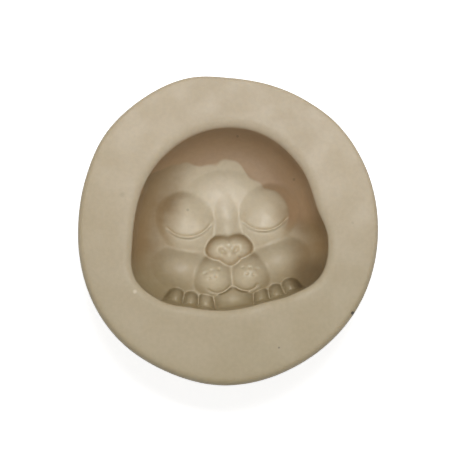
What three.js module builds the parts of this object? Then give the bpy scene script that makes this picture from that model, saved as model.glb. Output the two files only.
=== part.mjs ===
// Open-face silicone mold: a round block cast in one pour, with a sleeping cub's face sunk in its top.
// Millimetres, +Z up. The origin is on the table, under the middle of the block's outline.
import * as THREE from "three";

// Cavity. Its lip is rounded further out over the top than down into the cavity.
const CAVITY_RADIUS = 22.6;
const CAVITY_BULGE = 3.7;
const LIP_OUT = 2.4;
const LIP_DOWN = 1.1;
const HEAD_DEPTH = 16.3;
const NOSE_PAST_HEAD = 4.6;
const NOSE_CLEAR_OF_WALL = 4.8;
const WALL_BLEND = 1.6;

// Block
const WALL_ROUND_CAVITY = 13.4;
const BLOCK_BULGE = 1.8;
const FLOOR_UNDER_NOSE = 8;
const EDGE_ROUND = 1.4;
const BASE_ROUND = 1.8;
const BASE_TAPER = 0.6;
const BLOCK_RADIUS = CAVITY_RADIUS + WALL_ROUND_CAVITY;

// The cavity's middle, from the point that the block's outline is drawn about
const CAVITY_AT = [0.2, -1.7];

// Hand-poured outlines: a direction in degrees from +X, and how far the edge lies outside the radius
// there, as a share of the outline's bulge
const BLOCK_OUTLINE = [
  [0, -0.37],
  [30, 0],
  [45, 0.17],
  [60, 0.1],
  [88, 0.25],
  [105, 0.95],
  [125, 0.83],
  [142, 0.63],
  [160, -0.04],
  [180, -0.33],
  [222, 0.1],
  [246, -0.02],
  [268, 0.1],
  [300, -0.33],
  [330, -0.37],
];
const CAVITY_OUTLINE = [
  [0, 0.18],
  [20, -0.18],
  [45, 0.34],
  [75, 0.92],
  [100, 0.95],
  [130, 0.57],
  [165, 0.05],
  [182, 0.04],
  [203, 0.37],
  [222, -0.23],
  [242, -1.12],
  [270, -1.54],
  [298, -1.47],
  [318, -0.76],
  [338, 0.16],
];

// Rounded forms of the face, each sunk past the ones before it. Places and sizes are shares of
// CAVITY_RADIUS, from the cavity's middle and before the whole face is turned by FACE_TURN. deep is a
// form's lowest point past HEAD_DEPTH, swell its own height and blend the fillet where it meets the
// rest, all as shares of HEAD_DEPTH. A form that is not on the middle line has a twin on the other
// side, turned the other way.
const NOSE_DEEP = NOSE_PAST_HEAD / HEAD_DEPTH;
const FORMS = [
  { at: [0.5, -0.2], size: [0.38, 0.31], turn: 15, deep: 0.13, swell: 0.54, blend: 0.12 }, // cheek
  { at: [0.41, 0.25], size: [0.29, 0.33], turn: -8, deep: 0.13, swell: 0.17, blend: 0.1 }, // eye
  { at: [0, 0.53], size: [0.36, 0.24], turn: 0, deep: 0.03, swell: 0.14, blend: 0.16 }, // brow
  { at: [0, 0.04], size: [0.17, 0.54], turn: 0, deep: 0.09, swell: 0.26, blend: 0.18 }, // bridge
  { at: [0, -0.58], size: [0.25, 0.18], turn: 0, deep: 0.11, swell: 0.49, blend: 0.12 }, // chin
  { at: [0.2, -0.32], size: [0.28, 0.25], turn: 10, deep: 0.23, swell: 0.5, blend: 0.12 }, // muzzle
  { at: [0, -0.06], size: [0.28, 0.21], turn: 0, deep: NOSE_DEEP, swell: 0.38, blend: 0.17 }, // nose
  { at: [0.46, -0.6], size: [0.27, 0.19], turn: 14, deep: 0.01, swell: 0.44, blend: 0.14 }, // paw
];
const STEEPEST_AWAY = 0.88;
const FALL_PAST_EDGE = 6;
const FACE_TURN = 5;

// The cavity's walls: the head and the wall's own limit keep their depth further out with a higher power
const HEAD_FULLNESS = 6;
const WALL_FULLNESS = 8;
const WALL_STEEPNESS = 0.6;
const WALL_DEPTH = HEAD_DEPTH + NOSE_PAST_HEAD + NOSE_CLEAR_OF_WALL;

// Fineness of the faceted surface, and how far its cells are gathered towards the cavity's rim
const CAVITY_CELLS = 56;
const RIM_GATHER = 0.65;
const ROUND_STEPS = 3;

const DEEPEST = LIP_DOWN + HEAD_DEPTH + NOSE_PAST_HEAD;
const BLOCK_HEIGHT = DEEPEST + FLOOR_UNDER_NOSE;
const QUARTER_TURN = Math.PI / 2;

// Distance from an outline's middle to its edge, on a smooth curve through the outline's points
function reach(outline, bulge, radius, angle) {
  const count = outline.length;
  const degrees = (THREE.MathUtils.radToDeg(angle) + 360) % 360;
  const last = outline.findLastIndex(([direction]) => direction <= degrees);
  const knot = (index) => {
    const turns = Math.floor(index / count);
    const [direction, share] = outline[index - turns * count];
    return [direction + 360 * turns, share * bulge];
  };
  const [before, from, to, after] = [-1, 0, 1, 2].map((step) => knot(last + step));
  const span = to[0] - from[0];
  const share = (degrees - from[0]) / span;
  const slopeFrom = ((to[1] - before[1]) / (to[0] - before[0])) * span;
  const slopeTo = ((after[1] - from[1]) / (after[0] - from[0])) * span;
  const bend = 2 * (from[1] - to[1]) + slopeFrom + slopeTo;
  const lean = 3 * (to[1] - from[1]) - 2 * slopeFrom - slopeTo;
  return radius + from[1] + share * (slopeFrom + share * (lean + share * bend));
}

// The larger of two depths, with a fillet where they cross
function deeper(a, b, blend) {
  const near = Math.max(blend - Math.abs(a - b), 0) / blend;
  return Math.max(a, b) + (near * near * blend) / 4;
}

function shallower(a, b, blend) {
  return -deeper(-a, -b, blend);
}

// 0 at the middle of a form and 1 at its edge. side is 1 on the right and -1 for the twin.
function awayFrom(form, side, x, y) {
  const turn = THREE.MathUtils.degToRad(form.turn * side);
  const dx = x - form.at[0] * side;
  const dy = y - form.at[1];
  const across = (dx * Math.cos(turn) + dy * Math.sin(turn)) / form.size[0];
  const along = (dy * Math.cos(turn) - dx * Math.sin(turn)) / form.size[1];
  return Math.hypot(across, along);
}

// How far a form has risen from its lowest point, as a share of its swell: an ellipsoid, which leaves
// its curve where it gets too steep and then falls away faster and faster
function riseOf(away) {
  const along = Math.min(away, STEEPEST_AWAY);
  const past = away - along;
  const level = Math.sqrt(1 - along * along);
  return 1 - level + (past * along) / level + FALL_PAST_EDGE * past * past;
}

// Depth of the cavity below its lip. x and y are in mm from the cavity's middle, and out runs from
// 0 there to 1 at the rim.
function depthAt(x, y, out) {
  const turn = THREE.MathUtils.degToRad(FACE_TURN);
  const shareX = (x * Math.cos(turn) + y * Math.sin(turn)) / CAVITY_RADIUS;
  const shareY = (y * Math.cos(turn) - x * Math.sin(turn)) / CAVITY_RADIUS;
  let depth = HEAD_DEPTH * Math.sqrt(Math.max(1 - out ** HEAD_FULLNESS, 0));
  for (const form of FORMS) {
    const sides = form.at[0] === 0 ? [1] : [1, -1];
    for (const side of sides) {
      const crown = form.deep - form.swell * riseOf(awayFrom(form, side, shareX, shareY));
      depth = deeper(depth, HEAD_DEPTH * (1 + crown), HEAD_DEPTH * form.blend);
    }
  }
  const wall = WALL_DEPTH * Math.max(1 - out ** WALL_FULLNESS, 0) ** WALL_STEEPNESS;
  return Math.max(shallower(depth, wall, WALL_BLEND), 0);
}

// The middle of the block's outline, so that the finished block is centred on the origin
function middleOfBlock() {
  const box = new THREE.Box2();
  for (let degree = 0; degree < 360; degree += 0.25) {
    const angle = THREE.MathUtils.degToRad(degree);
    const radius = reach(BLOCK_OUTLINE, BLOCK_BULGE, BLOCK_RADIUS, angle);
    box.expandByPoint(new THREE.Vector2(radius * Math.cos(angle), radius * Math.sin(angle)));
  }
  return box.getCenter(new THREE.Vector2());
}

// A closed skin: the cavity as a square sheet of cells pressed into the outline, then rings of points
// from its edge over the lip, the top, the side and the base
function moldBody() {
  const middle = middleOfBlock();
  const points = [];
  const corners = [];
  const addPoint = (x, y, z) => {
    points.push(x - middle.x, y - middle.y, z);
    return points.length / 3 - 1;
  };

  const sheet = [];
  for (let row = 0; row <= CAVITY_CELLS; row += 1) {
    sheet.push([]);
    for (let column = 0; column <= CAVITY_CELLS; column += 1) {
      const u = (2 * column) / CAVITY_CELLS - 1;
      const v = (2 * row) / CAVITY_CELLS - 1;
      const discX = u * Math.sqrt(1 - (v * v) / 2);
      const discY = v * Math.sqrt(1 - (u * u) / 2);
      const angle = Math.atan2(discY, discX);
      const share = Math.min(Math.hypot(discX, discY), 1);
      const out = (1 - RIM_GATHER) * share + RIM_GATHER * Math.sin(share * QUARTER_TURN);
      const radius = out * reach(CAVITY_OUTLINE, CAVITY_BULGE, CAVITY_RADIUS, angle);
      const x = radius * Math.cos(angle);
      const y = radius * Math.sin(angle);
      const z = BLOCK_HEIGHT - LIP_DOWN - depthAt(x, y, out);
      const index = addPoint(CAVITY_AT[0] + x, CAVITY_AT[1] + y, z);
      sheet[row].push({ index, angle });
    }
  }
  for (let row = 0; row < CAVITY_CELLS; row += 1) {
    for (let column = 0; column < CAVITY_CELLS; column += 1) {
      const a = sheet[row][column].index;
      const b = sheet[row][column + 1].index;
      const c = sheet[row + 1][column + 1].index;
      const d = sheet[row + 1][column].index;
      const towardsCorner = row < CAVITY_CELLS / 2 === column < CAVITY_CELLS / 2;
      if (towardsCorner) {
        corners.push(a, b, c, a, c, d);
      } else {
        corners.push(a, b, d, b, c, d);
      }
    }
  }

  const rim = [];
  for (let step = 0; step < CAVITY_CELLS; step += 1) {
    rim.push(sheet[0][step]);
  }
  for (let step = 0; step < CAVITY_CELLS; step += 1) {
    rim.push(sheet[step][CAVITY_CELLS]);
  }
  for (let step = CAVITY_CELLS; step > 0; step -= 1) {
    rim.push(sheet[CAVITY_CELLS][step]);
  }
  for (let step = CAVITY_CELLS; step > 0; step -= 1) {
    rim.push(sheet[step][0]);
  }

  let ring = rim.map((corner) => corner.index);
  const addRing = (at, edgeAt, z) => {
    const next = rim.map(({ angle }) => {
      const distance = edgeAt(angle);
      return addPoint(at[0] + distance * Math.cos(angle), at[1] + distance * Math.sin(angle), z);
    });
    for (let step = 0; step < rim.length; step += 1) {
      const following = (step + 1) % rim.length;
      corners.push(ring[step], next[step], next[following]);
      corners.push(ring[step], next[following], ring[following]);
    }
    ring = next;
  };
  const aroundCavity = (radius) => (angle) => reach(CAVITY_OUTLINE, CAVITY_BULGE, radius, angle);
  const aroundBlock = (radius) => (angle) => reach(BLOCK_OUTLINE, BLOCK_BULGE, radius, angle);
  const blockAt = [0, 0];
  for (let step = 1; step <= ROUND_STEPS; step += 1) {
    const turn = (QUARTER_TURN * step) / ROUND_STEPS;
    const edge = aroundCavity(CAVITY_RADIUS + LIP_OUT * (1 - Math.cos(turn)));
    addRing(CAVITY_AT, edge, BLOCK_HEIGHT - LIP_DOWN * (1 - Math.sin(turn)));
  }
  for (let step = 0; step <= ROUND_STEPS; step += 1) {
    const turn = (QUARTER_TURN * step) / ROUND_STEPS;
    const edge = aroundBlock(BLOCK_RADIUS - EDGE_ROUND * (1 - Math.sin(turn)));
    addRing(blockAt, edge, BLOCK_HEIGHT - EDGE_ROUND * (1 - Math.cos(turn)));
  }
  for (let step = 0; step <= ROUND_STEPS; step += 1) {
    const turn = (QUARTER_TURN * step) / ROUND_STEPS;
    const edge = aroundBlock(BLOCK_RADIUS - BASE_TAPER - BASE_ROUND * (1 - Math.cos(turn)));
    addRing(blockAt, edge, BASE_ROUND * (1 - Math.sin(turn)));
  }
  const centre = addPoint(0, 0, 0);
  for (let step = 0; step < rim.length; step += 1) {
    corners.push(ring[step], centre, ring[(step + 1) % rim.length]);
  }

  const geometry = new THREE.BufferGeometry();
  geometry.setAttribute("position", new THREE.Float32BufferAttribute(points, 3));
  geometry.setIndex(corners);
  geometry.computeVertexNormals();
  return geometry;
}

const silicone = new THREE.MeshStandardMaterial({ color: 0xc3b69e, roughness: 0.5, metalness: 0 });
const moldMesh = new THREE.Mesh(moldBody(), silicone);
moldMesh.name = "mold_body";

const siliconeMold = new THREE.Group();
siliconeMold.add(moldMesh);

export default siliconeMold;
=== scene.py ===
"""A round open-face silicone mold, cast in one pour, with a sleeping cub's face sunk in its top.

The visible skin is one fine closed mesh in place of the faceted CAD block. It follows the same outlines
and forms, and adds thin carved lines, the slight unevenness of modelling and pouring by hand, and the
finish of the silicone. Sizes are in millimetres until they reach Blender.
"""
import math

import bpy
import numpy as np
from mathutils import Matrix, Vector


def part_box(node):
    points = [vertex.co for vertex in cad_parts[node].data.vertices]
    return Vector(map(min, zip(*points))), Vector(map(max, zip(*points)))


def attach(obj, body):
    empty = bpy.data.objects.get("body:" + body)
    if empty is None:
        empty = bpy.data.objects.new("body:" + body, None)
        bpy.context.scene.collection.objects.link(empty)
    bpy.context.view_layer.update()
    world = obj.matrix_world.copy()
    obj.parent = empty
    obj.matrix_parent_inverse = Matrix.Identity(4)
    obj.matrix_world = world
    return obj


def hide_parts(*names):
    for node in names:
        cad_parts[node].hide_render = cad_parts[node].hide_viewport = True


MM = 0.001
NODE = "mold_body"
QUARTER_TURN = math.pi / 2

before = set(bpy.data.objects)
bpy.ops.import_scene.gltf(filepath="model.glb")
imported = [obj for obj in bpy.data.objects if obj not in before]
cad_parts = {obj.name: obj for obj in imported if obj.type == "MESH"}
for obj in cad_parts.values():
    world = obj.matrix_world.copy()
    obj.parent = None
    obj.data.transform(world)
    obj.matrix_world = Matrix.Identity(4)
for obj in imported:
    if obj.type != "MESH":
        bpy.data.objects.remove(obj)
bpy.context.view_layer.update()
node_low, node_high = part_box(NODE)

# Block and cavity, as in the CAD
BLOCK_HEIGHT = (node_high.z - node_low.z) / MM
BLOCK_RADIUS = 36.0
BLOCK_BULGE = 1.8
BASE_ROUND = 1.8
BASE_TAPER = 0.6
CAVITY_RADIUS = 22.6
CAVITY_BULGE = 3.7
CAVITY_AT = (0.2, -1.7)
HEAD_DEPTH = 16.3
NOSE_PAST_HEAD = 4.6
NOSE_CLEAR_OF_WALL = 4.8
WALL_DEPTH = HEAD_DEPTH + NOSE_PAST_HEAD + NOSE_CLEAR_OF_WALL
WALL_BLEND = 1.6

# Rounding of the lip and of the top's edge, and how much of it comes or goes towards +Y and +X
LIP_OUT = 2.4
LIP_OUT_MORE_UP = 0.5
LIP_DOWN = 1.1
LIP_DOWN_MORE_UP = 0.3
EDGE_ROUND = 1.2
EDGE_LESS_UP = 0.4
EDGE_LESS_RIGHT = 0.15

# Outlines: a direction in degrees from +X, and how far the edge lies outside the radius there, as a
# share of the outline's bulge. The block's middle is found in steps of OUTLINE_STEP degrees.
BLOCK_OUTLINE = (
    (0, -0.37), (30, 0), (45, 0.17), (60, 0.1), (88, 0.25), (105, 0.95), (125, 0.83),
    (142, 0.63), (160, -0.04), (180, -0.33), (222, 0.1), (246, -0.02), (268, 0.1), (300, -0.33),
    (330, -0.37),
)
CAVITY_OUTLINE = (
    (0, 0.18), (20, -0.18), (45, 0.34), (75, 0.92), (100, 0.95), (130, 0.57), (165, 0.05),
    (182, 0.04), (203, 0.37), (222, -0.23), (242, -1.12), (270, -1.54), (298, -1.47), (318, -0.76),
    (338, 0.16),
)
OUTLINE_STEP = 0.25

# Forms of the face: place and size as shares of CAVITY_RADIUS, turn, then depth past the head, own
# swell and blend as shares of HEAD_DEPTH. A form off the middle line has a twin on the other side.
FORMS = (
    ((0.50, -0.20), (0.38, 0.31), 15, 0.13, 0.54, 0.07),  # cheek
    ((0.41, 0.25), (0.29, 0.33), -8, 0.13, 0.17, 0.05),  # eye
    ((0.00, 0.53), (0.36, 0.24), 0, 0.03, 0.14, 0.16),  # brow
    ((0.00, 0.04), (0.17, 0.54), 0, 0.09, 0.26, 0.16),  # bridge
    ((0.00, -0.58), (0.25, 0.18), 0, 0.11, 0.49, 0.05),  # chin
    ((0.20, -0.32), (0.28, 0.25), 10, 0.23, 0.50, 0.05),  # muzzle
    ((0.09, -0.03), (0.17, 0.14), -20, 0.27, 0.28, 0.04),  # side of the nose
    ((0.00, -0.09), (0.15, 0.15), 0, NOSE_PAST_HEAD / HEAD_DEPTH, 0.30, 0.06),  # nose
    ((0.30, -0.61), (0.10, 0.15), 4, 0.02, 0.30, 0.04),  # inner toe
    ((0.465, -0.59), (0.10, 0.15), 10, 0.02, 0.30, 0.04),  # middle toe
    ((0.62, -0.53), (0.10, 0.15), 20, 0.02, 0.30, 0.04),  # outer toe
)

# A form is steepest at this share of the way to its edge, and falls away past it
STEEPEST_AWAY = 0.9
FALL_PAST_EDGE = 6

# Turn of the whole face in degrees, and how full the head and the wall round it are
FACE_TURN = 5
HEAD_FULLNESS = 6
WALL_FULLNESS = 8
WALL_STEEPNESS = 0.6

# Carved lines: middle of the arc, its radius, the directions of its ends in degrees, half width and
# height. Each has a twin on the other side, and thins over LINE_FADE degrees at both ends.
CLOSED_LID = ((9.4, 9.4), 6.8, 210, 330, 0.32, 0.8)
MOUTH_CORNER = ((3.4, -8.3), 3.5, 212, 332, 0.3, 0.75)
LINE_FADE = 16.0

# Carved dots, with a twin on the other side too: place, half width and height
NOSTRIL = ((2.4, -1.1), 0.62, 1.1)
NOSTRIL_SLANT = 0.5
NOSTRIL_STRETCH = 0.8
WHISKER_SPOTS = ((3.0, -5.8), (4.7, -6.0), (6.4, -6.5), (3.8, -7.5), (5.5, -7.9))
WHISKER_SPOT = (0.32, 0.4)

# Carving and hand marks end at the rim, and fade towards it over this share of the way out
CARVING_FADE = 0.12

# Uneven patterns: seed of the draws, and fastest pace in radians per mm. Each is the sum of
# WAVE_COUNT sine waves, over WAVE_REACH.
TOP_WAVES = (3, 0.09)
SIDE_WAVES = (5, 0.22)
FILM_AND_SHADE_WAVES = (11, 0.3)
HAND_WAVES = (23, 1.1)
FINER_HAND_WAVES = (29, 2.2)
WAVE_COUNT = 6
WAVE_REACH = 4

# Unevenness that modelling and pouring by hand leave, and how much faster the waves run up the side
HAND_MARKS = 0.07
FINER_HAND_MARKS = 0.5 * HAND_MARKS
TOP_HOLLOW = 0.04
SIDE_UNEVEN = 0.12
SIDE_WAVES_UP = 1.6

# The faint upright ridge where the ends of the pouring strip met: direction and half width in degrees,
# height in mm, and the share of the side down which it starts
STRIP_MARK_AT = 103
STRIP_MARK_WIDTH = 0.9
STRIP_MARK = 0.3
STRIP_MARK_FADE = 0.1

# A tiny bead on the lip that catches the light: place from above, half width and height
BEAD = ((-21.8, -14.6), 0.4, 0.25)

# Small dark specks: place from above and radius in mm, then darkness
SPECKS = (
    ((29.1, -19.7), 0.55, 0.9),
    ((2.4, 23.3), 0.4, 0.3),
    ((16.0, 13.1), 0.45, 0.3),
    ((-10.0, 6.4), 0.45, 0.22),
    ((12.0, -27.7), 0.3, 0.5),
    ((29.3, 1.6), 0.4, 0.12),
)

# A speck reaches further up and down than sideways, because heights count for this share only. It
# sits on the nearest corner seen from above, where each mm higher counts as HIGHER_WINS mm nearer,
# and never in the lowest share of the block.
SPECK_SQUASH = 0.3
HIGHER_WINS = 0.05
LOWEST_SPECK = 0.2

# Brown film in the cavity, partly a stain and partly painted shade darkening it towards its walls. It
# lies from the start to the full share of the way out to the rim, unevenly, thinly all round, thickly
# on the sides given, and further in but thinner at the low end, which has a band of painted shade of
# its own at the rim.
FILM_AND_SHADE_START = 0.56
FILM_AND_SHADE_START_FURTHER_IN = 0.14
FILM_AND_SHADE_FULL = 0.86
FILM_AND_SHADE_UNEVEN = 0.09
FILM_AND_SHADE_ALL_ROUND = 0.12
FILM_AND_SHADE_SIDES = (0.35, 0.9)
FILM_AND_SHADE_LOW_END = (0.3, -0.7)
FILM_AND_SHADE_THINNER_LOW = 0.3
LOW_RIM_PAINTED_SHADE = 0.8
LOW_RIM_PAINTED_SHADE_OUT = (0.68, 0.95)

# Fineness of the skin. RIM_GATHER draws the cavity's cells towards its rim, and corners further out
# than AT_RIM lie on the rim.
CAVITY_CELLS = 200
RIM_GATHER = 0.65
AT_RIM = 0.99999
LIP_RINGS = 7
TOP_RINGS = 16
EDGE_RINGS = 8
SIDE_RINGS = 25
BASE_RINGS = 8

# Colours, as 0 to 255 on screen
BODY_COLOUR = (193, 178, 152)
SLOW_CLOUD_COLOUR = (190, 175, 150)
CLOUD_COLOUR = (187, 172, 145)
# Partly a yellower tint, partly painted shade for the light falling off towards the low end
LOW_END_TINT_AND_SHADE_COLOUR = (174, 160, 129)
LEFT_COLOUR = (174, 158, 124)
# Painted light over the cavity's middle, where its walls shade it
CAVITY_PAINTED_LIGHT_COLOUR = (211, 200, 175)
# Painted highlight on the forehead
FOREHEAD_HIGHLIGHT_COLOUR = (218, 207, 186)
# Painted shade towards the cavity's low end and its sides
LOW_END_PAINTED_SHADE_COLOUR = (150, 134, 104)
# Brown stain in the cavity, partly painted shade, greyer at the low end where it is painted shade
FILM_AND_SHADE_LOW_COLOUR = (150, 136, 105)
FILM_AND_SHADE_COLOUR = (154, 133, 103)
# Stain on the cavity's steep walls, partly painted shade where they turn from the light
WALL_STAIN_AND_SHADE_LOW_COLOUR = (160, 143, 108)
WALL_STAIN_AND_SHADE_COLOUR = (168, 139, 98)
# Painted shade in a deep corner of the cavity
CORNER_SHADE_COLOUR = (110, 89, 60)
RESIDUE_COLOUR = (163, 132, 103)
# Residue made lighter on steep parts, as painted light against their shade
RESIDUE_STEEP_PAINTED_LIGHT_COLOUR = (200, 167, 131)
# Painted highlight by the bead on the lip
GLINT_COLOUR = (216, 204, 180)
SPECK_COLOUR = (52, 46, 40)
# Painted shade in the pinholes
PINHOLE_SHADE_COLOUR = (112, 98, 74)
FLOOR_COLOUR = (238, 238, 238)
WHITE = (1, 1, 1, 1)

# How strongly each layer of colour covers what lies under it
# The first share is painted light over the cavity's middle
CAVITY_PAINTED_LIGHT_SHARE = 0.6
FOREHEAD_HIGHLIGHT_SHARE = 0.5
CORNER_SHADE_SHARE = 0.8
RESIDUE_SHARE = 0.7
GLINT_SHARE = 0.85
SMUDGE_SHARE = 0.14
PINHOLE_SHADE_SHARE = 0.6

# Bands along an axis: where one starts and ends in mm, and the shares before and past it. The last
# is a band round RESIDUE_ROUND, the middle of what the residue leaves free.
UNDER_TOP = (BLOCK_HEIGHT - 1.6, BLOCK_HEIGHT - 0.2, 1.0, 0.0)
TO_LOW_END = (22.0, -36.0, 0.0, 1.0)
TO_LEFT = (-22.0, -34.0, 0.0, 0.32)
LEFT_FROM = (-14.0, 4.0, 0.0, 1.0)
# Painted shade in the cavity, towards its low end and its sides
PAINTED_SHADE_TO_LOW_END = (9.0, -15.0, 0.0, 0.5)
PAINTED_SHADE_TO_SIDES = (3.0, 12.0, 0.15, 1.0)
REDDER_UP = (-13.0, -3.0, 0.0, 1.0)
# How much stain and painted shade the cavity's steep walls get, less upwards
WALL_STAIN_AND_SHADE_UP = (2.0, 17.0, 0.75, 0.5)
RESIDUE_FROM = (0.5, 5.5, 0.0, 1.0)
RESIDUE_OUT = (19.8, 20.6, 0.0, 1.0)
RESIDUE_ROUND = (-4.9, -2.3)

# Round patches: place from above, radius up to which one is full, and radius where it ends
MOUTH = ((0, -1.0), 28.0, 29.0)
# Painted highlight on the forehead
FOREHEAD_HIGHLIGHT = ((-1.0, 10.5), 2.0, 8.0)
# Painted shade in a deep corner of the cavity
CORNER_SHADE = ((20.5, -11.0), 2.0, 7.5)
EYE = ((8.7, 5.3), 5.9, 6.6)
# Painted highlight by the bead on the lip
GLINT = (BEAD[0], 0.1, 0.7)
SMUDGE = ((-24.9, 8.2), 0.2, 0.9)

# A speck is full up to this share of its radius
SPECK_CORE = 0.5

# Noise: scale per metre, detail and roughness
SLOW_NOISE = (26.0, 2.0, 0.5)
CLOUD_NOISE = (95.0, 3.0, 0.5)
WIPE_NOISE = (70.0, 3.0, 0.55)
TORN_NOISE = (120.0, 1.5, 0.4)
GRAIN_NOISE = (900.0, 3.0, 0.6)
SHEEN_NOISE = (160.0, 3.0, 0.5)
BUMP_NOISE = (380.0, 3.0, 0.5)
FINE_BUMP_NOISE = (1500.0, 3.0, 0.6)

# What a noise is turned into: its lower and upper level, and the values there
SLOW_CLOUDS = (0.35, 0.65, 0.0, 1.0)
UNEVEN_LOW_END = (0.2, 0.6, 0.4, 1.0)
CLOUDS = (0.45, 0.75, 0.0, 0.22)
WIPES = (0.35, 0.65, 0.62, 1.0)
TORN_EDGE = (0.3, 0.7, -1.4 * MM, 1.4 * MM)
GRAIN_TONE = (0.3, 0.7, 0.97, 1.03)
MATTE = (0.3, 0.7, 0.46, 0.58)

# Streaks of wiped film and smears of residue: how a noise is turned and squeezed along each axis
WIPE_TURN = (0, 0, 0.5)
WIPE_SQUEEZE = (1, 3, 0.5)
SMEAR_SQUEEZE = (1, 1, 0.35)

# Pinholes: cells per metre, which of them have one, and how far it reaches from its cell's middle
PINHOLE_CELLS = 260.0
PINHOLE_CHOSEN = (0.5, 0.54, 0.0, 1.0)
PINHOLE_AWAY = (0.06, 0.12, 1.0, 0.0)

# Steepness of the skin, from the upward part of its normal
STEEP = (0.25, 0.85, 1.0, 0.0)

# Surface of the silicone. Gloss comes off the roughness, and BUMP_HEIGHT and SCATTER_DEPTH are in mm.
INSIDE_GLOSS = 0.08
OUTSIDE_GLOSS = 0.16
FINE_BUMP_SHARE = 0.6
PIT_DEPTH = 3.0
BUMP_STRENGTH = 0.09
BUMP_HEIGHT = 0.08
SCATTER = 0.5
SCATTER_COLOURS = (1.0, 0.8, 0.6)
SCATTER_DEPTH = 0.8
SPECULAR = 0.35

# Floor: half its width in metres, roughness, and glow where it is seen
FLOOR_HALF = 1.5
FLOOR_ROUGHNESS = 0.9
FLOOR_GLOW = 0.8

# Lamp and surround. Lengths are in metres.
LAMP_WAY = (0.04, 0.23, 0.97)
LAMP_DISTANCE = 0.31
LAMP_SIZE = 0.09
LAMP_POWER = 0.72
SURROUND_LIGHT = 0.17
SURROUND_SEEN = 1.0

# Camera: elevation in degrees, the place on the top that it looks at in mm, its distance and near
# limit in metres, and its lens and sensor
VIEW_ELEVATION = 85
VIEW_AT = (-0.7, 1.05)
VIEW_DISTANCE = 0.4
VIEW_NEAREST = 0.01
LENS = 136.2
SENSOR = 36


def reach(outline, bulge, radius, angle):
    """Distance from an outline's middle to its edge, on a smooth curve through the outline's points."""
    directions = np.array([point[0] for point in outline], float)
    outs = bulge * np.array([point[1] for point in outline], float)
    count = len(outline)
    degrees = np.degrees(angle) % 360
    last = np.searchsorted(directions, degrees, side="right") - 1

    def knot(index):
        turns = index // count
        return directions[index % count] + 360 * turns, outs[index % count]

    before, start, end, after = (knot(last + step) for step in (-1, 0, 1, 2))
    span = end[0] - start[0]
    share = (degrees - start[0]) / span
    slope_start = (end[1] - before[1]) / (end[0] - before[0]) * span
    slope_end = (after[1] - start[1]) / (after[0] - start[0]) * span
    bend = 2 * (start[1] - end[1]) + slope_start + slope_end
    lean = 3 * (end[1] - start[1]) - 2 * slope_start - slope_end
    return radius + start[1] + share * (slope_start + share * (lean + share * bend))


def round_block(radius, angle):
    """Places along the block's outline, drawn with another radius."""
    distance = reach(BLOCK_OUTLINE, BLOCK_BULGE, radius, angle)
    return distance * np.cos(angle), distance * np.sin(angle)


def round_cavity(radius, angle):
    """Places along the cavity's outline, drawn with another radius."""
    distance = reach(CAVITY_OUTLINE, CAVITY_BULGE, radius, angle)
    return CAVITY_AT[0] + distance * np.cos(angle), CAVITY_AT[1] + distance * np.sin(angle)


def middle_of_block():
    x, y = round_block(BLOCK_RADIUS, np.radians(np.arange(0, 360, OUTLINE_STEP)))
    return (x.min() + x.max()) / 2, (y.min() + y.max()) / 2


def ease(low, high, value):
    """0 up to one value, 1 from another, and a smooth step between them."""
    share = np.clip((value - low) / (high - low), 0, 1)
    return share * share * (3 - 2 * share)


def deeper(a, b, blend):
    """The deeper of two depths, with a fillet where they cross."""
    near = np.maximum(blend - np.abs(a - b), 0) / blend
    return np.maximum(a, b) + near * near * blend / 4


def shallower(a, b, blend):
    return -deeper(-a, -b, blend)


def away_from(at, size, turn, side, x, y):
    """0 at the middle of a form and 1 at its edge."""
    turn = math.radians(turn * side)
    dx = x - at[0] * side
    dy = y - at[1]
    across = (dx * math.cos(turn) + dy * math.sin(turn)) / size[0]
    along = (dy * math.cos(turn) - dx * math.sin(turn)) / size[1]
    return np.hypot(across, along)


def rise_of(away):
    """How far a form has risen from its lowest point, as a share of its swell."""
    along = np.minimum(away, STEEPEST_AWAY)
    past = away - along
    level = np.sqrt(1 - along * along)
    return 1 - level + past * along / level + FALL_PAST_EDGE * past * past


def ridge(x, y, centre, radius, start, end, width, height):
    """A rounded line along an arc, from one direction to another in degrees, thinning at both ends."""
    dx, dy = x - centre[0], y - centre[1]
    off = np.hypot(dx, dy) - radius
    middle, half = (start + end) / 2, (end - start) / 2
    turn = np.abs((np.degrees(np.arctan2(dy, dx)) - middle + 180) % 360 - 180)
    return height * np.exp(-((off / width) ** 2)) * ease(0, LINE_FADE, half - turn)


def dot(x, y, centre, width, height):
    """A small rounded bump."""
    away = np.hypot(x - centre[0], y - centre[1]) / width
    return height * np.exp(-(away**2))


def carved_lines(x, y):
    """Thin lines and dots that stand up from the cavity's floor, and so are cut into the cast."""
    up = np.zeros_like(x)
    for side in (1, -1):
        for (across, along), *arc in (CLOSED_LID, MOUTH_CORNER):
            up += ridge(x, y, (side * across, along), *arc)
        up += dot(side * x - NOSTRIL_SLANT * y, NOSTRIL_STRETCH * y, *NOSTRIL)
        for across, along in WHISKER_SPOTS:
            up += dot(x, y, (side * across, along), *WHISKER_SPOT)
    return up


def waves(seed, fastest, *values):
    """A smooth uneven value between about -1 and 1, from a few slow sine waves."""
    random = np.random.default_rng(seed)
    total = 0
    for _ in range(WAVE_COUNT):
        pace = random.uniform(-fastest, fastest, len(values))
        phase = random.uniform(0, 2 * math.pi)
        total = total + np.sin(sum(p * v for p, v in zip(pace, values)) + phase)
    return total / WAVE_REACH


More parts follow.
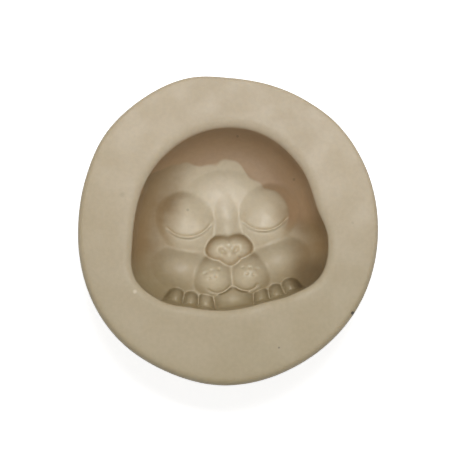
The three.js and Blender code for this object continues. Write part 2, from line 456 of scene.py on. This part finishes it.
def depth_at(x, y, out):
    """Depth of the cavity below its lip. x and y are from the cavity's middle; out is 1 at the rim."""
    turn = math.radians(FACE_TURN)
    x, y = x * math.cos(turn) + y * math.sin(turn), y * math.cos(turn) - x * math.sin(turn)
    share_x, share_y = x / CAVITY_RADIUS, y / CAVITY_RADIUS
    depth = HEAD_DEPTH * np.sqrt(np.maximum(1 - out**HEAD_FULLNESS, 0))
    for at, size, turn, deep, swell, blend in FORMS:
        for side in (1, -1) if at[0] else (1,):
            away = away_from(at, size, turn, side, share_x, share_y)
            crown = deep - swell * rise_of(away)
            depth = deeper(depth, HEAD_DEPTH * (1 + crown), HEAD_DEPTH * blend)
    by_hand = HAND_MARKS * waves(*HAND_WAVES, x, y) + FINER_HAND_MARKS * waves(*FINER_HAND_WAVES, x, y)
    depth = depth - (carved_lines(x, y) + by_hand) * ease(0, CARVING_FADE, 1 - out)
    wall = WALL_DEPTH * np.maximum(1 - out**WALL_FULLNESS, 0) ** WALL_STEEPNESS
    return np.maximum(shallower(depth, wall, WALL_BLEND), 0)


def brown_film_and_shade(angle, out, x, y):
    """How thickly the brown stain and its painted shade lie in the cavity: most on the left and right,
    and in its low end, whose band at the rim is painted shade only.
    """
    low_end = ease(*FILM_AND_SHADE_LOW_END, np.sin(angle))
    unevenly_out = out + FILM_AND_SHADE_UNEVEN * waves(*FILM_AND_SHADE_WAVES, x, y)
    start = FILM_AND_SHADE_START - FILM_AND_SHADE_START_FURTHER_IN * low_end
    sides = ease(*FILM_AND_SHADE_SIDES, np.abs(np.cos(angle))) * ease(start, FILM_AND_SHADE_FULL, unevenly_out)
    sides = sides * (1 - FILM_AND_SHADE_THINNER_LOW * low_end)
    # Painted shade in a band at the low end's rim
    low_rim = LOW_RIM_PAINTED_SHADE * low_end * ease(*LOW_RIM_PAINTED_SHADE_OUT, unevenly_out)
    all_round = FILM_AND_SHADE_ALL_ROUND * ease(FILM_AND_SHADE_START, FILM_AND_SHADE_FULL, unevenly_out)
    return all_round + (1 - FILM_AND_SHADE_ALL_ROUND) * np.maximum(sides, low_rim)


def cavity_grid():
    """A square grid fitted to the cavity's outline: direction, share of the way out, x and y."""
    line = np.linspace(-1, 1, CAVITY_CELLS + 1)
    u, v = np.meshgrid(line, line)
    disc_x = u * np.sqrt(1 - v * v / 2)
    disc_y = v * np.sqrt(1 - u * u / 2)
    share = np.minimum(np.hypot(disc_x, disc_y), 1)
    angle = np.arctan2(disc_y, disc_x)
    out = (1 - RIM_GATHER) * share + RIM_GATHER * np.sin(share * QUARTER_TURN)
    out[share > AT_RIM] = 1
    radius = out * reach(CAVITY_OUTLINE, CAVITY_BULGE, CAVITY_RADIUS, angle)
    return angle, out, radius * np.cos(angle), radius * np.sin(angle)


class Skin:
    """Corners and faces of the closed casting: the cavity's cells, then rings from rim to base."""

    def __init__(self):
        self.middle = middle_of_block()
        angle, out, x, y = cavity_grid()
        z = BLOCK_HEIGHT - LIP_DOWN - LIP_DOWN_MORE_UP * np.sin(angle) - depth_at(x, y, out)
        self.corners = [np.stack([CAVITY_AT[0] + x, CAVITY_AT[1] + y, z], -1).reshape(-1, 3)]
        self.film_and_shade = brown_film_and_shade(angle, out, x, y).reshape(-1)

        rows = np.arange(angle.size).reshape(angle.shape)
        cells = np.stack([rows[:-1, :-1], rows[:-1, 1:], rows[1:, 1:], rows[1:, :-1]], -1)
        self.faces = [cells.reshape(-1, 4)]
        self.ring = np.concatenate([rows[0, :-1], rows[:-1, -1], rows[-1, :0:-1], rows[:0:-1, 0]])
        self.count = angle.size

        self.angle = angle.reshape(-1)[self.ring]
        up, right = np.sin(self.angle), np.cos(self.angle)
        self.lip_out = LIP_OUT + LIP_OUT_MORE_UP * up
        self.lip_down = LIP_DOWN + LIP_DOWN_MORE_UP * up
        self.edge = EDGE_ROUND - EDGE_LESS_UP * up - EDGE_LESS_RIGHT * right

    def add_ring(self, place, z):
        """Adds a ring of corners, joined to the ring before it by one row of faces."""
        x, y = place
        z = np.minimum(z + dot(x - self.middle[0], y - self.middle[1], *BEAD), BLOCK_HEIGHT)
        self.corners.append(np.stack([x, y, z], -1))
        before, self.ring = self.ring, self.count + np.arange(len(self.ring))
        self.faces.append(
            np.stack([before, self.ring, np.roll(self.ring, -1), np.roll(before, -1)], -1)
        )
        self.count += len(self.ring)

    def add_lip(self):
        for step in range(1, LIP_RINGS + 1):
            bend = QUARTER_TURN * step / LIP_RINGS
            radius = CAVITY_RADIUS + self.lip_out * (1 - math.cos(bend))
            z = BLOCK_HEIGHT - self.lip_down * (1 - math.sin(bend))
            self.add_ring(round_cavity(radius, self.angle), z)

    def add_top(self):
        inner_x, inner_y = round_cavity(CAVITY_RADIUS + self.lip_out, self.angle)
        outer_x, outer_y = round_block(BLOCK_RADIUS - self.edge, self.angle)
        for step in range(1, TOP_RINGS + 1):
            share = step / TOP_RINGS
            x = inner_x + (outer_x - inner_x) * share
            y = inner_y + (outer_y - inner_y) * share
            hollow = TOP_HOLLOW * (1 - waves(*TOP_WAVES, x, y)) * math.sin(math.pi * share) ** 2
            self.add_ring((x, y), BLOCK_HEIGHT - hollow)

    def add_edge(self):
        for step in range(1, EDGE_RINGS + 1):
            bend = QUARTER_TURN * step / EDGE_RINGS
            radius = BLOCK_RADIUS - self.edge * (1 - math.sin(bend))
            z = BLOCK_HEIGHT - self.edge * (1 - math.cos(bend))
            self.add_ring(round_block(radius, self.angle), z)

    def add_side(self):
        """The outer side: it tapers slightly, is uneven, and has the mark of the pouring strip."""
        x, y = round_block(BLOCK_RADIUS, self.angle)
        off_mark = (np.degrees(self.angle) - STRIP_MARK_AT) / STRIP_MARK_WIDTH
        for step in range(1, SIDE_RINGS + 1):
            share = step / SIDE_RINGS
            z = (BLOCK_HEIGHT - self.edge) * (1 - share) + BASE_ROUND * share
            in_and_out = 1 + waves(*SIDE_WAVES, x, y, SIDE_WAVES_UP * z)
            uneven = SIDE_UNEVEN * in_and_out * math.sin(math.pi * share)
            mark = STRIP_MARK * np.exp(-(off_mark**2)) * ease(0, STRIP_MARK_FADE, share)
            radius = BLOCK_RADIUS - BASE_TAPER * share - uneven + mark
            self.add_ring(round_block(radius, self.angle), z)

    def add_base(self):
        for step in range(1, BASE_RINGS + 1):
            bend = QUARTER_TURN * step / BASE_RINGS
            radius = BLOCK_RADIUS - (BASE_TAPER + BASE_ROUND * (1 - math.cos(bend)))
            self.add_ring(round_block(radius, self.angle), BASE_ROUND * (1 - math.sin(bend)))
        x, y = round_block(BLOCK_RADIUS - BASE_TAPER - BASE_ROUND, self.angle)
        for step in range(1, BASE_RINGS):
            share = 1 - step / BASE_RINGS
            self.add_ring((x * share, y * share), 0)

    def close(self):
        """Closes the base at its middle. Returns the corners in metres, the faces and the brown stain
        with its painted shade.
        """
        self.corners.append(np.zeros((1, 3)))
        middle = np.full_like(self.ring, self.count)
        closing = np.stack([self.ring, middle, np.roll(self.ring, -1)], -1)
        corners = np.concatenate(self.corners)
        corners[:, 0] -= self.middle[0]
        corners[:, 1] -= self.middle[1]
        film_and_shade = np.zeros(len(corners))
        film_and_shade[: len(self.film_and_shade)] = self.film_and_shade
        return corners * MM, np.concatenate(self.faces).tolist() + closing.tolist(), film_and_shade


def on_surface(corners, at):
    """The corner that a speck sits on: the nearest seen from above, and the higher of two as near."""
    upper = corners[corners[:, 2] > LOWEST_SPECK * BLOCK_HEIGHT * MM]
    away = np.hypot(upper[:, 0] - at[0] * MM, upper[:, 1] - at[1] * MM)
    return upper[np.argmin(away - HIGHER_WINS * upper[:, 2])]


def srgb(red, green, blue):
    """A colour picked as 0 to 255 on screen, as Blender's linear colour."""
    def linear(value):
        value /= 255
        return value / 12.92 if value <= 0.04045 else ((value + 0.055) / 1.055) ** 2.4

    return linear(red), linear(green), linear(blue), 1.0


class Tree:
    """Adds nodes to a material or a world and links them, so that a finish reads as a few lines."""

    def __init__(self, owner):
        owner.use_nodes = True
        self.nodes = owner.node_tree.nodes
        self.links = owner.node_tree.links

    def add(self, kind, inputs=(), **settings):
        node = self.nodes.new(kind)
        for name, value in settings.items():
            setattr(node, name, value)
        for socket, value in dict(inputs).items():
            self.put(node, socket, value)
        return node

    def put(self, node, socket, value):
        if isinstance(value, bpy.types.NodeSocket):
            self.links.new(value, node.inputs[socket])
        else:
            node.inputs[socket].default_value = value

    def noise(self, place, scale, detail, roughness):
        node = self.add(
            "ShaderNodeTexNoise",
            {"Vector": place, "Scale": scale, "Detail": detail, "Roughness": roughness},
        )
        return node.outputs["Fac"]

    def between(self, value, low, high, to_low, to_high):
        """One value up to low, another from high, and a smooth step between them."""
        node = self.add(
            "ShaderNodeMapRange",
            {"Value": value, "From Min": low, "From Max": high, "To Min": to_low, "To Max": to_high},
            interpolation_type="SMOOTHSTEP",
        )
        return node.outputs["Result"]

    def mix(self, share, first, second, blend="MIX"):
        node = self.add("ShaderNodeMix", data_type="RGBA", blend_type=blend)
        self.put(node, 0, share)
        self.put(node, 6, first)
        self.put(node, 7, second)
        return node.outputs[2]

    def math(self, operation, *values):
        node = self.add("ShaderNodeMath", dict(enumerate(values)), operation=operation)
        return node.outputs[0]

    def product(self, value, *others):
        for other in others:
            value = self.math("MULTIPLY", value, other)
        return value

    def distance(self, first, second):
        node = self.add("ShaderNodeVectorMath", {0: first, 1: second}, operation="DISTANCE")
        return node.outputs["Value"]

    def seen(self):
        """1 for a ray that looks, straight or by way of gloss or glass, and 0 for one that lights."""
        sight = self.add("ShaderNodeLightPath").outputs
        straight_or_gloss = self.math("MAXIMUM", sight["Is Camera Ray"], sight["Is Glossy Ray"])
        return self.math("MAXIMUM", straight_or_gloss, sight["Is Transmission Ray"])


class Silicone(Tree):
    """The finish of the casting, in layers of colour, several of them painted light and shade. Its
    bands and patches are given in mm.
    """

    def __init__(self, specks):
        self.material = bpy.data.materials.new("beige_silicone")
        super().__init__(self.material)
        self.shader = self.nodes["Principled BSDF"]
        coordinates = self.add("ShaderNodeTexCoord").outputs
        self.place = coordinates["Object"]
        self.axes = self.add("ShaderNodeSeparateXYZ", {0: self.place}).outputs
        self.from_above = self.squashed(0)

        upward = self.add("ShaderNodeSeparateXYZ", {0: coordinates["Normal"]}).outputs["Z"]
        self.steep = self.between(upward, *STEEP)
        self.inside = self.product(self.band(self.axes["Z"], *UNDER_TOP), self.patch(*MOUTH))
        self.outer_side = self.math("SUBTRACT", self.steep, self.inside)

        self.colour = srgb(*BODY_COLOUR)
        self.paint_body()
        self.paint_cavity()
        self.paint_residue()
        pits = self.paint_marks(specks)
        self.put(self.shader, "Base Color", self.colour)
        self.set_surface(pits)

    def squashed(self, share):
        """Places with their heights brought down to a share."""
        node = self.add(
            "ShaderNodeVectorMath", {0: self.place, 1: (1, 1, share)}, operation="MULTIPLY"
        )
        return node.outputs[0]

    def band(self, value, start, end, before, past):
        return self.between(value, start * MM, end * MM, before, past)

    def patch(self, at, full, end):
        away = self.distance(self.from_above, (at[0] * MM, at[1] * MM, 0))
        return self.band(away, full, end, 1.0, 0.0)

    def paint(self, share, colour):
        """Lays a colour over what is there."""
        self.colour = self.mix(share, self.colour, colour)

    def paint_body(self):
        """Pale body, a little darker in clouds, and olive towards the low end and the left. The low
        end's darkening is partly painted shade, for the light falling off there.
        """
        slow = self.noise(self.place, *SLOW_NOISE)
        self.paint(self.between(slow, *SLOW_CLOUDS), srgb(*SLOW_CLOUD_COLOUR))
        low_end = self.band(self.axes["Y"], *TO_LOW_END)
        # Partly painted shade: darker towards the low end, as the light falls off there
        self.paint(self.product(low_end, self.between(slow, *UNEVEN_LOW_END)), srgb(*LOW_END_TINT_AND_SHADE_COLOUR))
        clouds = self.between(self.noise(self.place, *CLOUD_NOISE), *CLOUDS)
        self.paint(clouds, srgb(*CLOUD_COLOUR))
        left = self.product(self.band(self.axes["X"], *TO_LEFT), self.band(self.axes["Y"], *LEFT_FROM))
        self.paint(left, srgb(*LEFT_COLOUR))

    def paint_cavity(self):
        """Painted light over the cavity's middle where its walls shade it, a painted highlight above
        the eyes, painted shade towards the low end and its sides, a brown stain wiped in streaks that
        is partly painted shade, a stain with painted shade on the steep walls, and painted shade in a
        deep corner.
        """
        film_and_shade = self.add("ShaderNodeAttribute", attribute_name="film_and_shade").outputs["Fac"]
        # Painted light: the cavity is paler where the brown stain is thin, against the shade of its
        # walls
        cavity_painted_light = self.product(self.inside, self.math("SUBTRACT", 1.0, film_and_shade), CAVITY_PAINTED_LIGHT_SHARE)
        self.paint(cavity_painted_light, srgb(*CAVITY_PAINTED_LIGHT_COLOUR))
        # Painted highlight on the forehead, above the eyes
        forehead_highlight = self.product(self.patch(*FOREHEAD_HIGHLIGHT), self.inside, FOREHEAD_HIGHLIGHT_SHARE)
        self.paint(forehead_highlight, srgb(*FOREHEAD_HIGHLIGHT_COLOUR))

        # Painted shade towards the cavity's low end and its sides
        sideways = self.band(self.math("ABSOLUTE", self.axes["X"]), *PAINTED_SHADE_TO_SIDES)
        low_end_painted_shade = self.product(self.band(self.axes["Y"], *PAINTED_SHADE_TO_LOW_END), sideways, self.inside)
        self.paint(low_end_painted_shade, srgb(*LOW_END_PAINTED_SHADE_COLOUR))

        # The brown stain, partly painted shade towards the walls, wiped in streaks
        streaks = self.add(
            "ShaderNodeMapping",
            {"Vector": self.place, "Rotation": WIPE_TURN, "Scale": WIPE_SQUEEZE},
        ).outputs[0]
        wiped = self.between(self.noise(streaks, *WIPE_NOISE), *WIPES)
        redder = self.band(self.axes["Y"], *REDDER_UP)
        film_and_shade_colour = self.mix(redder, srgb(*FILM_AND_SHADE_LOW_COLOUR), srgb(*FILM_AND_SHADE_COLOUR))
        self.paint(self.product(film_and_shade, wiped), film_and_shade_colour)

        # Stain and painted shade on the cavity's steep walls
        wall = self.product(self.inside, self.steep, self.band(self.axes["Y"], *WALL_STAIN_AND_SHADE_UP))
        self.paint(wall, self.mix(redder, srgb(*WALL_STAIN_AND_SHADE_LOW_COLOUR), srgb(*WALL_STAIN_AND_SHADE_COLOUR)))
        # Painted shade in a deep corner of the cavity's lower right
        corner_shade = self.product(self.patch(*CORNER_SHADE), self.inside, CORNER_SHADE_SHARE)
        self.paint(corner_shade, srgb(*CORNER_SHADE_COLOUR))

    def paint_residue(self):
        """Redder residue with a torn border, over the cavity's top and upper right but off the eye,
        lighter on steep parts as painted light against their shade.
        """
        smeared = self.add(
            "ShaderNodeMapping", {"Vector": self.place, "Scale": SMEAR_SQUEEZE}
        ).outputs[0]
        torn = self.between(self.noise(smeared, *TORN_NOISE), *TORN_EDGE)
        away = self.distance(self.from_above, (RESIDUE_ROUND[0] * MM, RESIDUE_ROUND[1] * MM, 0))
        residue = self.product(
            self.band(self.math("ADD", away, torn), *RESIDUE_OUT),
            self.inside,
            self.band(self.axes["Y"], *RESIDUE_FROM),
            self.math("SUBTRACT", 1.0, self.patch(*EYE)),
            RESIDUE_SHARE,
        )
        # The residue is lighter on steep parts, as painted light against their shade
        self.paint(residue, self.mix(self.steep, srgb(*RESIDUE_COLOUR), srgb(*RESIDUE_STEEP_PAINTED_LIGHT_COLOUR)))

    def paint_marks(self, specks):
        """Fine grain, specks, a painted glint by the bead, a smudge, and pinholes darkened with painted
        shade. Returns what is a pit.
        """
        grain = self.between(self.noise(self.place, *GRAIN_NOISE), *GRAIN_TONE)
        tone = self.add("ShaderNodeCombineColor", {0: grain, 1: grain, 2: grain}).outputs[0]
        self.colour = self.mix(1.0, self.colour, tone, "MULTIPLY")

        squat = self.squashed(SPECK_SQUASH)
        dark = 0.0
        for at, size, darkness in specks:
            away = self.distance(squat, (at[0], at[1], at[2] * SPECK_SQUASH))
            speck = self.band(away, SPECK_CORE * size, size, 1.0, 0.0)
            dark = self.math("MAXIMUM", dark, self.product(speck, darkness))
        # Painted highlight by the bead on the lip
        self.paint(self.product(self.patch(*GLINT), GLINT_SHARE), srgb(*GLINT_COLOUR))
        smudge = self.product(self.patch(*SMUDGE), SMUDGE_SHARE)
        self.paint(self.math("MAXIMUM", dark, smudge), srgb(*SPECK_COLOUR))

        cells = self.add("ShaderNodeTexVoronoi", {"Vector": self.place, "Scale": PINHOLE_CELLS}).outputs
        draw = self.add("ShaderNodeSeparateColor", {0: cells["Color"]}).outputs[0]
        pinhole = self.product(
            self.between(cells["Distance"], *PINHOLE_AWAY),
            self.between(draw, *PINHOLE_CHOSEN),
            self.outer_side,
        )
        # Painted shade in the pinholes
        self.paint(self.product(pinhole, PINHOLE_SHADE_SHARE), srgb(*PINHOLE_SHADE_COLOUR))
        return self.math("MAXIMUM", dark, pinhole)

    def set_surface(self, pits):
        """Satin skin with fine bumps and pits, and a little light passing into it."""
        matte = self.between(self.noise(self.place, *SHEEN_NOISE), *MATTE)
        gloss = self.math(
            "MAXIMUM",
            self.product(self.inside, INSIDE_GLOSS),
            self.product(self.outer_side, OUTSIDE_GLOSS),
        )
        self.put(self.shader, "Roughness", self.math("SUBTRACT", matte, gloss))

        fine = self.product(self.noise(self.place, *FINE_BUMP_NOISE), FINE_BUMP_SHARE)
        height = self.math("ADD", fine, self.noise(self.place, *BUMP_NOISE))
        height = self.math("SUBTRACT", height, self.product(pits, PIT_DEPTH))
        bumps = self.add(
            "ShaderNodeBump",
            {"Strength": BUMP_STRENGTH, "Distance": BUMP_HEIGHT * MM, "Height": height},
        )
        self.put(self.shader, "Normal", bumps.outputs["Normal"])
        self.put(self.shader, "Subsurface Weight", SCATTER)
        self.put(self.shader, "Subsurface Radius", SCATTER_COLOURS)
        self.put(self.shader, "Subsurface Scale", SCATTER_DEPTH * MM)
        self.put(self.shader, "Specular IOR Level", SPECULAR)


def build_mold():
    skin = Skin()
    skin.add_lip()
    skin.add_top()
    skin.add_edge()
    skin.add_side()
    skin.add_base()
    corners, faces, film_and_shade = skin.close()
    mesh = bpy.data.meshes.new("mold_casting")
    mesh.from_pydata(corners.tolist(), [], faces)
    mesh.polygons.foreach_set("use_smooth", [True] * len(mesh.polygons))
    # How thickly the brown stain and its painted shade lie, for the material
    mesh.attributes.new("film_and_shade", "FLOAT", "POINT").data.foreach_set("value", film_and_shade)
    mesh.update()
    mold = bpy.data.objects.new("mold_casting", mesh)
    bpy.context.scene.collection.objects.link(mold)
    specks = [(on_surface(corners, at), size, darkness) for at, size, darkness in SPECKS]
    mesh.materials.append(Silicone(specks).material)
    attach(mold, "root")
    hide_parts(NODE)


def build_floor():
    half = FLOOR_HALF
    corners = [(-half, -half, 0), (half, -half, 0), (half, half, 0), (-half, half, 0)]
    mesh = bpy.data.meshes.new("floor")
    mesh.from_pydata(corners, [], [(0, 1, 2, 3)])
    floor = bpy.data.objects.new("floor", mesh)
    bpy.context.scene.collection.objects.link(floor)
    material = bpy.data.materials.new("white_floor")
    tree = Tree(material)
    shader = tree.nodes["Principled BSDF"]
    tree.put(shader, "Base Color", srgb(*FLOOR_COLOUR))
    tree.put(shader, "Roughness", FLOOR_ROUGHNESS)
    tree.put(shader, "Emission Color", WHITE)
    tree.put(shader, "Emission Strength", tree.product(tree.seen(), FLOOR_GLOW))
    mesh.materials.append(material)


def add_lamp():
    data = bpy.data.lights.new("key", "AREA")
    data.energy = LAMP_POWER
    data.size = LAMP_SIZE
    lamp = bpy.data.objects.new("key", data)
    way = Vector(LAMP_WAY).normalized()
    lamp.location = Vector((0, 0, BLOCK_HEIGHT * MM)) + way * LAMP_DISTANCE
    lamp.rotation_euler = way.to_track_quat("Z", "Y").to_euler()
    bpy.context.scene.collection.objects.link(lamp)


def set_surround():
    """Pale light from all round, and white where it is seen."""
    world = bpy.data.worlds.new("studio")
    bpy.context.scene.world = world
    tree = Tree(world)
    background = tree.nodes["Background"]
    tree.put(background, "Color", WHITE)
    strength = tree.between(tree.seen(), 0.0, 1.0, SURROUND_LIGHT, SURROUND_SEEN)
    tree.put(background, "Strength", strength)


def set_camera():
    """Looks down on the mold from a little in front, as the photograph does."""
    elevation = math.radians(VIEW_ELEVATION)
    aim = Vector((VIEW_AT[0] * MM, VIEW_AT[1] * MM, BLOCK_HEIGHT * MM))
    back = Vector((0, -math.cos(elevation), math.sin(elevation)))
    data = bpy.data.cameras.new("camera")
    data.sensor_width = SENSOR
    data.lens = LENS
    data.clip_start = VIEW_NEAREST
    camera = bpy.data.objects.new("camera", data)
    camera.location = aim + back * VIEW_DISTANCE
    camera.rotation_euler = back.to_track_quat("Z", "Y").to_euler()
    bpy.context.scene.collection.objects.link(camera)
    bpy.context.scene.camera = camera
    bpy.context.scene.view_settings.view_transform = "Standard"


set_camera()
build_mold()
build_floor()
add_lamp()
set_surround()
